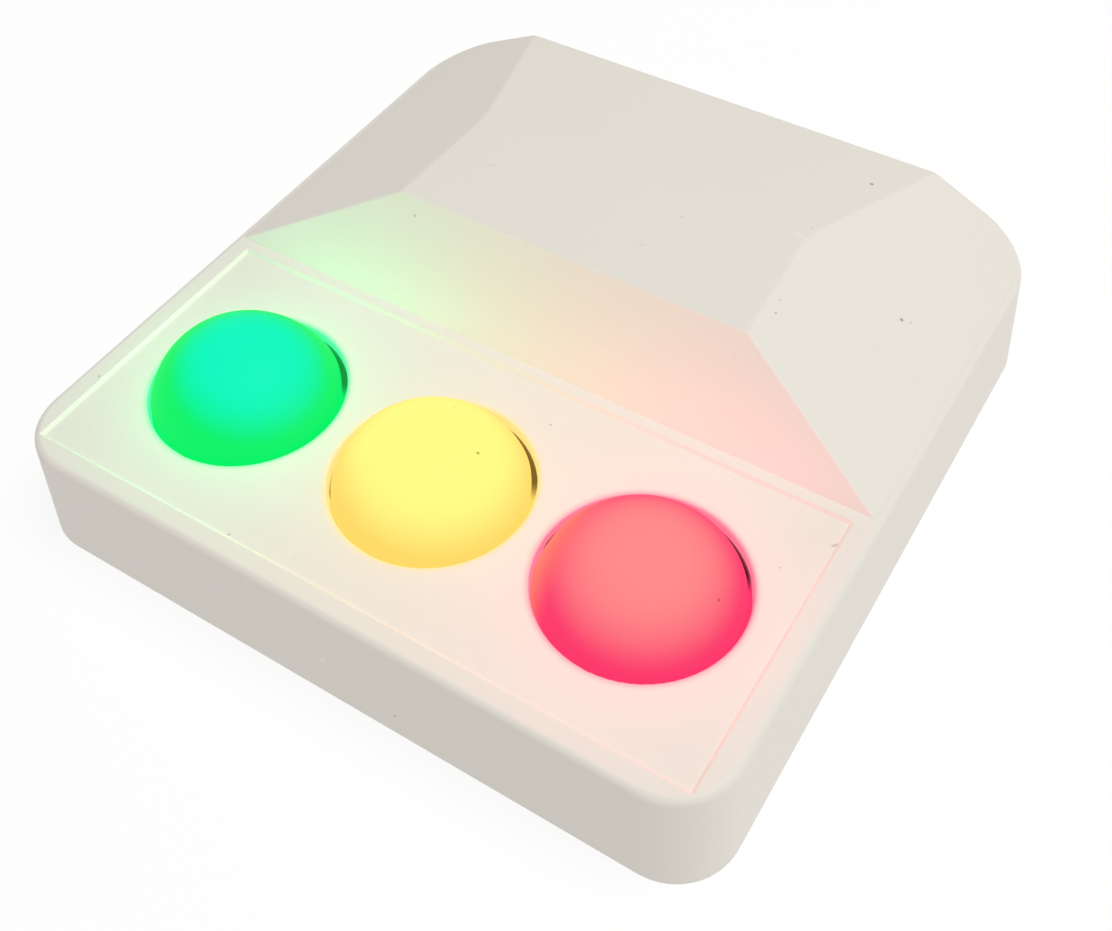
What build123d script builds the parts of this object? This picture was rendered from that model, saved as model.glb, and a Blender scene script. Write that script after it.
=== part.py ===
from build123d import *
import os
from math import cos, radians, sin, sqrt, tan

# Three-lamp signal light, a square moulded box for a wall or a flat surface.
# Millimetres. X runs along the row of lamps, green to red. Y runs from the lamps to the raised back.
# Z points away from the wall, and the origin is the centre of the back face.

# Row of lamps and the recessed panel around it
lens_hole_radius = 10.65
lens_web = 3.0
panel_side_margin = 3.35
panel_front_margin = 5.55
panel_rear_margin = 5.85
panel_recess = 0.35
panel_edge_slope = 45.0
hole_edge_rounding = 0.35

# Case outside
rim_height = 14.0
draft_angle = 6.0
front_draft_angle = 3.7
corner_radius = 7.0
rim_rounding = 0.8
side_land = 2.8
front_land = 2.8

# Raised back: a slope up from the panel, a nearly level top, a soft ridge and a fall to the back wall
slope_gap = 1.6
slope_run = 7.8
slope_rise = 9.4
top_run = 15.9
top_rise = 0.4
back_run = 23.35
back_wall_rise = 6.4
facet_ledge = 0.8
crest_half_width = 21.5
ridge_rounding = 25.0
side_crease_rounding = 1.2
slope_crease_rounding = 0.5
back_edge_rounding = 0.4

# Case inside
wall = 2.0
plate_thickness = 2.0
plate_gap = 0.25
rib_thickness = 1.2
rib_reach = 1.0
rib_count = 4

# Snap fit: hooked lugs at the lamp end, sprung arms at the back wall
lug_width = 8.0
lug_thickness = 1.4
lug_height = 3.2
tongue_reach = 0.9
tongue_height = 1.4
pocket_gap = 0.2
arm_width = 7.0
arm_thickness = 1.2
arm_gap = 0.25
bead_reach = 0.8
bead_base = 4.4
bead_overhang = 1.0
bead_height = 1.2
nose_height = 1.8
snap_spacing = 44.0

# Wall fixing and cable entry
wall_hole_pitch = 60.0
wall_hole_radius = 2.2
wall_boss_radius = 4.5
wall_boss_height = 1.0
entry_width = 20.0
entry_length = 11.0
entry_corner = 3.0
entry_lip = 1.2
entry_setback = 2.6

# Circuit board and its screws
post_height = 3.0
post_radius = 2.6
board_thickness = 1.6
board_edge_gap = 2.2
board_corner = 1.5
edge_margin = 3.0
part_gap = 1.2
screw_shank_radius = 1.25
screw_head_radius = 2.5
screw_head_height = 1.7
screw_head_bevel = 0.7
screw_bite = 2.6
screw_hole_gap = 0.1
screw_angle = 48.0
cross_width = 0.7
cross_length = 2.8
cross_depth = 0.8

# Lenses, and how far each one sits off the middle of its hole
lens_gap = 0.4
dome_height = 7.4
lens_wall = 1.2
flange_thickness = 1.2
flange_gap = 0.25
green_shift_x = -0.2
green_shift_y = -0.1
yellow_shift_x = -0.05
yellow_shift_y = -0.15
red_shift_x = 0.05
red_shift_y = -0.3

# Light baffle
baffle_wall = 1.0
baffle_skin = 1.2
well_foot_radius = 4.6
recess_gap = 0.4

# Lamps on the board
lamp_side = 5.0
lamp_height = 1.6
lamp_cup_radius = 2.0
lamp_cup_depth = 0.5
lamp_corner_cut = 0.8

# Terminal block
pole_count = 4
pole_pitch = 5.08
terminal_depth = 8.0
terminal_height = 10.0
terminal_chamfer = 1.2
chamber_width = 3.6
chamber_height = 4.0
chamber_length = 5.0
chamber_floor = 1.5
clamp_gap = 0.1
clamp_wall = 0.6
clamp_length = 3.4
well_radius = 1.95
clamp_screw_radius = 1.2
clamp_head_radius = 1.75
clamp_head_height = 1.4
clamp_head_sink = 1.0
slot_width = 0.5
slot_depth = 0.6

# Electronics
capacitor_radius = 4.0
capacitor_height = 11.5
capacitor_groove = 0.4
inductor_side = 7.2
inductor_height = 4.0
inductor_chamfer = 1.4
inductor_core_radius = 2.8
inductor_core_sink = 0.3
controller_length = 4.9
controller_width = 3.9
controller_height = 1.5
controller_lead_reach = 1.05
controller_leads = 4
regulator_length = 6.5
regulator_width = 3.5
regulator_height = 1.6
regulator_tab_width = 3.0
regulator_lead_reach = 1.75
transistor_length = 2.9
transistor_width = 1.3
transistor_height = 1.0
transistor_lead_reach = 0.6
lead_width = 0.42
lead_thickness = 0.25
diode_length = 4.3
diode_width = 2.6
diode_height = 2.2
diode_lead_reach = 0.5
fuse_length = 6.1
fuse_width = 2.6
fuse_height = 2.6
resistor_length = 3.2
resistor_width = 1.6
resistor_height = 0.6
ceramic_length = 2.0
ceramic_width = 1.25
ceramic_height = 1.25
end_cap_length = 0.4
end_cap_proud = 0.04

# Sizes that follow
draft = tan(radians(draft_angle))
front_draft = tan(radians(front_draft_angle))
lens_pitch = 2 * lens_hole_radius + lens_web
panel_half = lens_pitch + lens_hole_radius + panel_side_margin
panel_length = panel_front_margin + 2 * lens_hole_radius + panel_rear_margin
half_width = panel_half + side_land + rim_height * draft
case_depth = rim_height * front_draft + front_land + panel_length
case_depth += slope_gap + slope_run + top_run + back_run
half_depth = case_depth / 2

panel_front = -half_depth + rim_height * front_draft + front_land
lens_y = panel_front + panel_front_margin + lens_hole_radius
foot_y = panel_front + panel_length + slope_gap
crest_y = foot_y + slope_run
ridge_y = crest_y + top_run
crest_z = rim_height + slope_rise
ridge_z = crest_z + top_rise
back_z = rim_height + back_wall_rise
facet_foot = panel_half + side_land - facet_ledge

panel_top = rim_height - panel_recess
panel_under = rim_height - wall
board_base = plate_thickness + post_height
board_top = board_base + board_thickness
flange_base = panel_under - flange_thickness
dome_radius = lens_hole_radius - lens_gap
flange_radius = lens_pitch / 2 - flange_gap
recess_radius = flange_radius + recess_gap
baffle_radius = recess_radius + baffle_wall
baffle_rear = lens_y + baffle_radius

controller_span = controller_width + 2 * controller_lead_reach
regulator_span = regulator_width + 2 * regulator_lead_reach
terminal_width = pole_count * pole_pitch
first_row_y = baffle_rear + part_gap + controller_span / 2
second_row_y = first_row_y + controller_span / 2 + part_gap + regulator_span / 2
terminal_y = second_row_y + regulator_span / 2 + part_gap + terminal_depth / 2
board_rear = terminal_y + terminal_depth / 2 + board_corner / 4
board_neck = terminal_width / 2 + part_gap + 2 * capacitor_radius + edge_margin
entry_y = board_rear + entry_setback + entry_length / 2
side_part_x = terminal_width / 2 + part_gap + capacitor_radius + edge_margin / 4


def side_wall(height, inset=0.0):
    """X of the right side wall at a height, set in by a distance square to it."""
    return half_width - height * draft - inset / cos(radians(draft_angle))


def back_wall(height, inset=0.0):
    """Y of the back wall at a height, set in by a distance square to it."""
    return half_depth - height * draft - inset / cos(radians(draft_angle))


def front_wall(height, inset=0.0):
    """Y of the steeper front wall at a height, set in by a distance square to it."""
    return -half_depth + height * front_draft + inset / cos(radians(front_draft_angle))


def drafted_block(inset, bottom, top):
    """Rounded square block with the case's draft, set in from its outer face."""
    across = Polygon(
        (-side_wall(bottom, inset), bottom),
        (-side_wall(top, inset), top),
        (side_wall(top, inset), top),
        (side_wall(bottom, inset), bottom),
        align=None,
    )
    along = Polygon(
        (front_wall(bottom, inset), bottom),
        (front_wall(top, inset), top),
        (back_wall(top, inset), top),
        (back_wall(bottom, inset), bottom),
        align=None,
    )
    block = extrude(Plane.XZ * across, amount=2 * half_depth, both=True)
    block &= extrude(Plane.YZ * along, amount=2 * half_width, both=True)
    corners = block.edges().filter_by(lambda edge: abs((edge % 0.5).Z) > 0.9)
    return fillet(corners, corner_radius - inset)


def facet_half(height):
    """Half width between the two side facets of the raised back, at a height."""
    return crest_half_width + (crest_z - height) * (facet_foot - crest_half_width) / slope_rise


def hump_profiles(inset):
    """Side and front outlines of the raised back, each set in by one wall where asked."""
    below = -2 * rim_height
    beyond = 2 * half_depth
    fall = (ridge_z - back_z) / (back_wall(back_z) - ridge_y)
    side = Polygon(
        (foot_y, below),
        (foot_y, rim_height),
        (crest_y, crest_z),
        (ridge_y, ridge_z),
        (beyond, ridge_z - fall * (beyond - ridge_y)),
        (beyond, below),
        align=None,
    )
    ridge = side.vertices().sort_by_distance((ridge_y, ridge_z, 0))[0]
    side = fillet(ridge, ridge_rounding)

    over = ridge_z + wall
    front = Polygon(
        (-facet_half(below), below),
        (-facet_half(over), over),
        (facet_half(over), over),
        (facet_half(below), below),
        align=None,
    )
    if inset:
        side = offset(side, -inset, kind=Kind.INTERSECTION)
        front = offset(front, -inset, kind=Kind.INTERSECTION)
    return side, front


def hump_form(inset, bottom):
    """Raised back: the drafted block cut by its side and front outlines."""
    side, front = hump_profiles(inset)
    along = extrude(Plane.YZ * side, amount=2 * half_width, both=True)
    across = extrude(Plane.XZ * front, amount=2 * half_depth, both=True)
    return drafted_block(inset, bottom, ridge_z + wall) & along & across


def on_outer_wall(edge):
    """True for an edge that lies on the drafted outer wall, above the base."""
    middle = edge @ 0.5
    spread_x = abs(middle.X) - side_wall(middle.Z)
    spread_y = max(middle.Y - back_wall(middle.Z), front_wall(middle.Z) - middle.Y)
    reach = sqrt(max(spread_x + corner_radius, 0) ** 2 + max(spread_y + corner_radius, 0) ** 2)
    return middle.Z > rim_height - rim_rounding and abs(reach - corner_radius) < pocket_gap / 2


def outer_form():
    """Outside of the case, with its roundings."""
    base = drafted_block(0, 0, rim_height)
    base = fillet(base.edges().group_by(Axis.Z)[-1], rim_rounding)
    hump = hump_form(0, 0)

    def is_side_crease(edge):
        middle = edge @ 0.5
        return middle.Y > crest_y and abs(middle.X) > 1 and middle.Z > rim_height and not on_outer_wall(edge)

    def is_slope_crease(edge):
        middle = edge @ 0.5
        on_slope = foot_y < middle.Y < crest_y + 0.1 and middle.Z > rim_height + 1
        return on_slope and edge.length > slope_run and not on_outer_wall(edge)

    hump = fillet(hump.edges().filter_by(is_side_crease), side_crease_rounding)
    hump = fillet(hump.edges().filter_by(is_slope_crease), slope_crease_rounding)
    hump = fillet(hump.edges().filter_by(on_outer_wall), back_edge_rounding)
    return base + hump


def lens_centres():
    """Centres of the three holes, green, yellow and red."""
    return [(step * lens_pitch, lens_y) for step in (-1, 0, 1)]


def lens_seats():
    """Centres of the three lenses in their holes."""
    shifts = [
        (green_shift_x, green_shift_y),
        (yellow_shift_x, yellow_shift_y),
        (red_shift_x, red_shift_y),
    ]
    return [(x + dx, y + dy) for (x, y), (dx, dy) in zip(lens_centres(), shifts)]


def rib_places():
    """Heights along Y of the ribs that stop the back plate."""
    span = 2 * half_depth - 4 * corner_radius
    return [-span / 2 + span * step / (rib_count - 1) for step in range(rib_count)]


def front_cover():
    """Hollow cover with the panel, the three holes, the plate stops and the snap features."""
    cavity = drafted_block(wall, -wall, panel_under) + hump_form(wall, -wall)
    cover = outer_form()
    panel = Pos(0, panel_front + panel_length / 2, panel_top) * Rectangle(2 * panel_half, panel_length)
    cover -= extrude(panel, amount=2 * panel_recess, taper=-panel_edge_slope)
    cover -= cavity
    for x, y in lens_centres():
        cover -= Pos(x, y, panel_top) * Cylinder(lens_hole_radius, 4 * wall)
    rims = cover.edges().filter_by(GeomType.CIRCLE)
    rims = [e for e in rims if abs(e.radius - lens_hole_radius) < 0.01 and abs(e.center().Z - panel_top) < 0.01]
    cover = fillet(rims, hole_edge_rounding)

    additions = []
    for y in rib_places():
        for side in (-1, 1):
            inner = side_wall(rim_height, wall) - rib_reach
            rib = Box(half_width, rib_thickness, rim_height, align=(Align.MIN, Align.CENTER, Align.MIN))
            rib = Pos(inner, y, plate_thickness) * rib
            additions.append((rib if side > 0 else mirror(rib, Plane.YZ)) & cavity)
    for x in (-snap_spacing / 2, snap_spacing / 2):
        inner = back_wall(plate_thickness + bead_base, wall) - bead_reach
        bead = Box(arm_width + 2 * bead_overhang, half_depth, bead_height, align=(Align.CENTER, Align.MIN, Align.MIN))
        additions.append((Pos(x, inner, plate_thickness + bead_base) * bead) & cavity)
    for piece in additions:
        cover += piece

    for x in (-snap_spacing / 2, snap_spacing / 2):
        top = plate_thickness + lug_height + pocket_gap
        inner = front_wall(top, wall)
        pocket = Box(
            lug_width + 2 * pocket_gap,
            2 * (tongue_reach + pocket_gap),
            tongue_height + 2 * pocket_gap,
            align=(Align.CENTER, Align.CENTER, Align.MAX),
        )
        cover -= Pos(x, inner, top) * pocket
    return cover


def board_screw_places():
    """Screw centres: two in the corners beside the baffle, two on the board's neck."""
    reach = baffle_radius + screw_head_radius + part_gap / 3
    front_x = lens_pitch + reach * cos(radians(screw_angle))
    front_y = lens_y - reach * sin(radians(screw_angle))
    rear_x = board_neck - edge_margin
    return [(-front_x, front_y), (front_x, front_y), (-rear_x, second_row_y), (rear_x, second_row_y)]


def snap_arm():
    """Sprung arm, standing on the plate and facing +Y, with a ramped nose that catches over the bead."""
    bead_face = back_wall(plate_thickness + bead_base, wall) - bead_reach
    outer = bead_face - arm_gap
    nose_base = plate_thickness + bead_base + bead_height + arm_gap / 2
    tip = nose_base + nose_height
    profile = Polygon(
        (outer - arm_thickness, plate_thickness / 2),
        (outer - arm_thickness, tip),
        (outer - arm_thickness / 3, tip),
        (outer + bead_reach, nose_base + nose_height / 3),
        (outer + bead_reach, nose_base),
        (outer, nose_base),
        (outer, plate_thickness / 2),
        align=None,
    )
    return extrude(Plane.YZ * profile, amount=arm_width / 2, both=True)


def front_lug():
    """Stiff lug at the plate's front edge, with a tongue that hooks into the cover's wall."""
    top = plate_thickness + lug_height
    inner = front_wall(top, wall)
    face = inner + plate_gap
    profile = Polygon(
        (face + lug_thickness, plate_thickness / 2),
        (face + lug_thickness, top),
        (inner - tongue_reach, top),
        (inner - tongue_reach, top - tongue_height),
        (face, top - tongue_height),
        (face, plate_thickness / 2),
        align=None,
    )
    return extrude(Plane.YZ * profile, amount=lug_width / 2, both=True)


def cable_entry(grow, bottom, height):
    """Rounded slot through the back plate, or the block of the lip around it."""
    outline = RectangleRounded(entry_width + 2 * grow, entry_length + 2 * grow, entry_corner + grow)
    return extrude(Pos(0, entry_y, bottom) * outline, amount=height)


def back_plate():
    """Plate that closes the back and carries the board."""
    plate = drafted_block(wall + plate_gap, 0, plate_thickness)
    for x, y in board_screw_places():
        plate += Pos(x, y, plate_thickness) * Cylinder(
            post_radius, post_height, align=(Align.CENTER, Align.CENTER, Align.MIN)
        )
    for x in (-wall_hole_pitch / 2, wall_hole_pitch / 2):
        plate += Pos(x, 0, plate_thickness) * Cylinder(
            wall_boss_radius, wall_boss_height, align=(Align.CENTER, Align.CENTER, Align.MIN)
        )
    plate += cable_entry(entry_lip, plate_thickness, wall_boss_height)
    for x in (-snap_spacing / 2, snap_spacing / 2):
        plate += Pos(x, 0, 0) * snap_arm()
        plate += Pos(x, 0, 0) * front_lug()
    for x, y in board_screw_places():
        plate -= Pos(x, y, board_top - board_thickness - screw_bite - screw_hole_gap) * Cylinder(
            screw_shank_radius + screw_hole_gap, post_height + screw_bite, align=(Align.CENTER, Align.CENTER, Align.MIN)
        )
    for x in (-wall_hole_pitch / 2, wall_hole_pitch / 2):
        plate -= Pos(x, 0, plate_thickness) * Cylinder(wall_hole_radius, 4 * plate_thickness)
    plate -= cable_entry(0, -plate_thickness, 4 * plate_thickness)
    return plate


def board_outline():
    """Tee outline: wide under the lamps, narrow between the wall screws."""
    wide = side_wall(board_top, wall) - board_edge_gap
    front = front_wall(board_top, wall) + board_edge_gap
    shoulder = baffle_rear + part_gap
    outline = Pos(0, (front + shoulder) / 2) * Rectangle(2 * wide, shoulder - front)
    outline += Pos(0, (front + board_rear) / 2) * Rectangle(2 * board_neck, board_rear - front)
    return fillet(outline.vertices(), board_corner)


def circuit_board():
    """Board with its four screw holes."""
    board = extrude(Pos(0, 0, board_base) * board_outline(), amount=board_thickness)
    for x, y in board_screw_places():
        board -= Pos(x, y, board_base) * Cylinder(screw_shank_radius + screw_hole_gap, 4 * board_thickness)
    return board


def board_screws():
    """Four pan-head screws with a cross recess."""
    screws = []
    for x, y in board_screw_places():
        shank = Cylinder(
            screw_shank_radius, board_thickness + screw_bite, align=(Align.CENTER, Align.CENTER, Align.MAX)
        )
        head = Cylinder(screw_head_radius, screw_head_height, align=(Align.CENTER, Align.CENTER, Align.MIN))
        head = chamfer(head.edges().group_by(Axis.Z)[-1], screw_head_bevel)
        screw = shank + head
        for turn in (0, 90):
            arm = Box(cross_length, cross_width, 2 * cross_depth)
            screw -= Pos(0, 0, screw_head_height) * Rot(0, 0, turn) * arm
        screws.append(Pos(x, y, board_top) * screw)
    return Compound(children=screws)


def lens(centre):
    """Domed cap: a flange under the panel, a short skirt through the hole and a thin dome."""
    rise = panel_top + dome_height - flange_base
    cap = (dome_radius**2 + dome_height**2) / (2 * dome_height)
    ball = Pos(0, 0, rise - cap)
    shoulder = rise - dome_height
    tube = dict(align=(Align.CENTER, Align.CENTER, Align.MIN))
    inner_radius = dome_radius - lens_wall
    outer = Cylinder(dome_radius, shoulder, **tube)
    outer += (ball * Sphere(cap)) & (Pos(0, 0, shoulder) * Cylinder(dome_radius, rise, **tube))
    hollow = Cylinder(inner_radius, shoulder, **tube)
    hollow += (ball * Sphere(cap - lens_wall)) & (Pos(0, 0, shoulder) * Cylinder(inner_radius, rise, **tube))
    shape = outer + Cylinder(flange_radius, flange_thickness, **tube) - hollow
    return Pos(centre[0], centre[1], flange_base) * shape


def stadium(radius, bottom, top):
    """Block around the whole row of lamps."""
    outline = Pos(0, lens_y, bottom) * SlotCenterToCenter(2 * lens_pitch, 2 * radius)
    return extrude(outline, amount=top - bottom)


def light_baffle():
    """Moulded reflector: an outer wall, a shelf for the flanges and three open cones."""
    well_top_radius = dome_radius - lens_wall
    depth = flange_base - board_top
    block = stadium(baffle_radius, board_top, panel_under)
    block -= stadium(recess_radius, flange_base, panel_under)
    core = stadium(recess_radius, board_top, flange_base - baffle_skin)
    align = (Align.CENTER, Align.CENTER, Align.MIN)
    for x, y in lens_centres():
        core -= Pos(x, y, board_top) * Cone(
            well_foot_radius + baffle_skin, well_top_radius + baffle_skin, depth, align=align
        )
    block -= core
    for x, y in lens_centres():
        block -= Pos(x, y, board_top) * Cone(well_foot_radius, well_top_radius, depth, align=align)
    return block


def lamp(centre):
    """Square surface lamp with a round cup and one cut corner."""
    align = (Align.CENTER, Align.CENTER, Align.MIN)
    body = Box(lamp_side, lamp_side, lamp_height, align=align)
    body = chamfer(body.edges().filter_by(Axis.Z).sort_by(Axis.X)[-1:], lamp_corner_cut)
    body -= Pos(0, 0, lamp_height) * Cylinder(lamp_cup_radius, 2 * lamp_cup_depth)
    return Pos(centre[0], centre[1], board_top) * body


def pole_places():
    """X of each terminal's centre."""
    return [(step - (pole_count - 1) / 2) * pole_pitch for step in range(pole_count)]


def chamber_front():
    """Y of the clamp's centre, measured from the terminal block's centre."""
    return terminal_depth / 2 - chamber_length + clamp_gap + clamp_length / 2


def terminal_block():
    """Housing with a screw well above each wire chamber, chambers open to the back."""
    align = (Align.CENTER, Align.CENTER, Align.MIN)
    body = Box(terminal_width, terminal_depth, terminal_height, align=align)
    top = body.edges().filter_by(Axis.X).group_by(Axis.Z)[-1]
    body = chamfer(top, terminal_chamfer)
    for x in pole_places():
        chamber = Box(chamber_width, chamber_length, chamber_height, align=(Align.CENTER, Align.MAX, Align.MIN))
        body -= Pos(x, terminal_depth / 2, chamber_floor) * chamber
        well = Cylinder(well_radius, terminal_height, align=align)
        body -= Pos(x, chamber_front(), chamber_floor + chamber_height / 2) * well
    return Pos(0, terminal_y, board_top) * body


def terminal_clamps():
    """Rectangular wire clamps, one on the floor of each chamber."""
    align = (Align.CENTER, Align.CENTER, Align.MIN)
    width = chamber_width - 2 * clamp_gap
    height = chamber_height - 2 * clamp_gap
    clamps = []
    for x in pole_places():
        clamp = Box(width, clamp_length, height, align=align)
        clamp -= Pos(0, 0, clamp_wall) * Box(
            width - 2 * clamp_wall, 2 * clamp_length, height - 2 * clamp_wall, align=align
        )
        clamps.append(Pos(x, terminal_y + chamber_front(), board_top + chamber_floor) * clamp)
    return Compound(children=clamps)


def terminal_screws():
    """Slotted clamp screws that stand on the clamps."""
    foot = chamber_floor + chamber_height - 2 * clamp_gap
    head_base = terminal_height - clamp_head_sink - clamp_head_height
    align = (Align.CENTER, Align.CENTER, Align.MIN)
    screws = []
    for x in pole_places():
        screw = Cylinder(clamp_screw_radius, head_base - foot, align=align)
        screw += Pos(0, 0, head_base - foot) * Cylinder(clamp_head_radius, clamp_head_height, align=align)
        slot = Box(3 * clamp_head_radius, slot_width, 2 * slot_depth)
        screw -= Pos(0, 0, head_base - foot + clamp_head_height) * slot
        screws.append(Pos(x, terminal_y + chamber_front(), board_top + foot) * screw)
    return Compound(children=screws)


def leaded_body(across, along, height, leads):
    """Moulded body on bent leads. Each lead is its X, its width, its reach and the side it leaves."""
    align = (Align.CENTER, Align.CENTER, Align.MIN)
    shape = Box(across, along, height, align=align)
    shape = chamfer(shape.faces().sort_by(Axis.Z)[-1].edges(), height / 6)
    for x, width, reach, side in leads:
        foot = Box(width, reach + lead_thickness, lead_thickness, align=align)
        middle = side * (along / 2 + (reach - lead_thickness) / 2)
        shape += Pos(x, middle, 0) * foot
    return shape


def controller_chip():
    """Eight-lead controller."""
    pitch = controller_length / controller_leads
    leads = []
    for step in range(controller_leads):
        x = (step - (controller_leads - 1) / 2) * pitch
        leads += [(x, lead_width, controller_lead_reach, side) for side in (-1, 1)]
    body = leaded_body(controller_length, controller_width, controller_height, leads)
    return Pos(0, first_row_y, board_top) * body


def voltage_regulator():
    """Regulator with a wide tab on one side and three leads on the other."""
    spread = regulator_length / 3
    leads = [(step * spread, 2 * lead_width, regulator_lead_reach, -1) for step in (-1, 0, 1)]
    leads.append((0, regulator_tab_width, regulator_lead_reach, 1))
    body = leaded_body(regulator_length, regulator_width, regulator_height, leads)
    return Pos(0, second_row_y, board_top) * body


def small_part_x(step):
    """X of the small parts beside the controller, counted outwards."""
    first = controller_length / 2 + part_gap + ceramic_width + part_gap
    return first + (transistor_length + part_gap) * (step + 0.5)


def driver_transistors():
    """Three small transistors, one for each lamp."""
    spread = transistor_length / 3
    leads = [(-spread, lead_width, transistor_lead_reach, -1), (spread, lead_width, transistor_lead_reach, -1)]
    leads.append((0, lead_width, transistor_lead_reach, 1))
    parts = []
    for step in range(3):
        body = leaded_body(transistor_length, transistor_width, transistor_height, leads)
        parts.append(Pos(-small_part_x(step), first_row_y, board_top) * body)
    return Compound(children=parts)


def chip_part(across, along, height):
    """Small block with a metal cap on each end, lying along Y."""
    align = (Align.CENTER, Align.CENTER, Align.MIN)
    shape = Box(across - 2 * end_cap_proud, along, height - end_cap_proud, align=align)
    for side in (-1, 1):
        cap = Box(across, end_cap_length, height, align=align)
        shape += Pos(0, side * (along - end_cap_length) / 2, 0) * cap
    return shape


def led_resistors():
    """Three resistors, one for each lamp."""
    parts = []
    for step in range(3):
        body = chip_part(resistor_width, resistor_length, resistor_height)
        parts.append(Pos(small_part_x(step), first_row_y, board_top) * body)
    return Compound(children=parts)


def ceramic_capacitors():
    """Three small capacitors, beside the controller and the regulator."""
    beside_controller = controller_length / 2 + part_gap + ceramic_width / 2
    beside_regulator = regulator_length / 2 + part_gap + ceramic_width / 2
    places = [
        (beside_controller, first_row_y),
        (-beside_regulator, second_row_y),
        (beside_regulator, second_row_y),
    ]
    parts = []
    for x, y in places:
        parts.append(Pos(x, y, board_top) * chip_part(ceramic_width, ceramic_length, ceramic_height))
    return Compound(children=parts)


def second_row_x(width):
    """X of the wider parts beside the regulator's capacitors."""
    return regulator_length / 2 + 2 * part_gap + ceramic_width + width / 2


def protection_diode():
    """Diode against reversed supply, lying along Y."""
    leads = [(0, diode_width / 2, diode_lead_reach, side) for side in (-1, 1)]
    body = leaded_body(diode_width, diode_length, diode_height, leads)
    return Pos(-second_row_x(diode_width), second_row_y, board_top) * body


def board_fuse():
    """Block fuse with two end caps, lying along Y."""
    body = chip_part(fuse_width, fuse_length, fuse_height)
    return Pos(second_row_x(fuse_width), second_row_y, board_top) * body


def smoothing_capacitor():
    """Can capacitor with its crimped groove and rolled top edge, turned from one outline."""
    outline = Polygon(
        (0, 0),
        (capacitor_radius, 0),
        (capacitor_radius, 3 * capacitor_groove),
        (capacitor_radius - capacitor_groove, 4 * capacitor_groove),
        (capacitor_radius, 5 * capacitor_groove),
        (capacitor_radius, capacitor_height - capacitor_groove),
        (capacitor_radius - capacitor_groove, capacitor_height),
        (0, capacitor_height),
        align=None,
    )
    return Pos(-side_part_x, terminal_y, board_top) * revolve(Plane.XZ * outline, Axis.Z)


def filter_inductor():
    """Square shielded coil with cut corners and a round core."""
    align = (Align.CENTER, Align.CENTER, Align.MIN)
    body = Box(inductor_side, inductor_side, inductor_height, align=align)
    body = chamfer(body.edges().filter_by(Axis.Z), inductor_chamfer)
    ring = Cylinder(inductor_core_radius + inductor_core_sink, inductor_core_sink)
    ring -= Cylinder(inductor_core_radius, inductor_core_sink)
    body -= Pos(0, 0, inductor_height - inductor_core_sink / 2) * ring
    return Pos(side_part_x, terminal_y, board_top) * body


def pieces():
    """Every piece of the light, by the name of its file."""
    green, yellow, red = lens_centres()
    green_seat, yellow_seat, red_seat = lens_seats()
    return {
        "front_cover": front_cover(),
        "back_plate": back_plate(),
        "green_lens": lens(green_seat),
        "yellow_lens": lens(yellow_seat),
        "red_lens": lens(red_seat),
        "light_baffle": light_baffle(),
        "circuit_board": circuit_board(),
        "board_screws": board_screws(),
        "green_led": lamp(green),
        "yellow_led": lamp(yellow),
        "red_led": lamp(red),
        "terminal_block": terminal_block(),
        "terminal_clamps": terminal_clamps(),
        "terminal_screws": terminal_screws(),
        "controller_chip": controller_chip(),
        "voltage_regulator": voltage_regulator(),
        "driver_transistors": driver_transistors(),
        "led_resistors": led_resistors(),
        "ceramic_capacitors": ceramic_capacitors(),
        "protection_diode": protection_diode(),
        "board_fuse": board_fuse(),
        "smoothing_capacitor": smoothing_capacitor(),
        "filter_inductor": filter_inductor(),
    }


os.makedirs("parts", exist_ok=True)
for name, shape in pieces().items():
    export_step(shape, f"parts/{name}.step")
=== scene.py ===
"""Looks of a three-lamp signal light: a warm white moulded case, three lit domes and the works inside it."""

from __future__ import annotations

import logging
import math
from dataclasses import dataclass
from enum import Enum
from typing import Any

import bpy
from mathutils import Matrix, Vector

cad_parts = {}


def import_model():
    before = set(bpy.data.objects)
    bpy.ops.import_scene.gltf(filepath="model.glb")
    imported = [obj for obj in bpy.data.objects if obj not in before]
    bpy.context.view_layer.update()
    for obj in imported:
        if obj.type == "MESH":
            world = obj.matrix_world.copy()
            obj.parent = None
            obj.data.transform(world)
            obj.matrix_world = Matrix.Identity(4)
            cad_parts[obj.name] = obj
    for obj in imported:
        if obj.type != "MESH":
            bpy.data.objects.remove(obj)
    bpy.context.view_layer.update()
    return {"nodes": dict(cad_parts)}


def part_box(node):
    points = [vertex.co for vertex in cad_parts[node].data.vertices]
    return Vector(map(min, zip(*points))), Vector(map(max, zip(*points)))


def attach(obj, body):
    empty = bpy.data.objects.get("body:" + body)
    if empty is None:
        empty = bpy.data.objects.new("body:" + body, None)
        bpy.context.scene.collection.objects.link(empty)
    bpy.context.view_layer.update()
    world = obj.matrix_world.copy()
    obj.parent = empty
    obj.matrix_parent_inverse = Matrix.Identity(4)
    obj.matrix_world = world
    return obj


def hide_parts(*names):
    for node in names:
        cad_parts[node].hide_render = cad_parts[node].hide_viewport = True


LOG = logging.getLogger("signal_light")

MM = 0.001

Colour = tuple[float, float, float]
Place = tuple[float, float, float]

BLACK: Colour = (0.0, 0.0, 0.0)
WHITE: Colour = (1.0, 1.0, 1.0)

# Height of the recessed panel, in millimetres.
PANEL_TOP = 13.65


def shaded(colour: Colour, share: float) -> Colour:
    """A colour made darker, by the share of it that is kept."""
    red, green, blue = colour
    return (red * share, green * share, blue * share)


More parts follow.
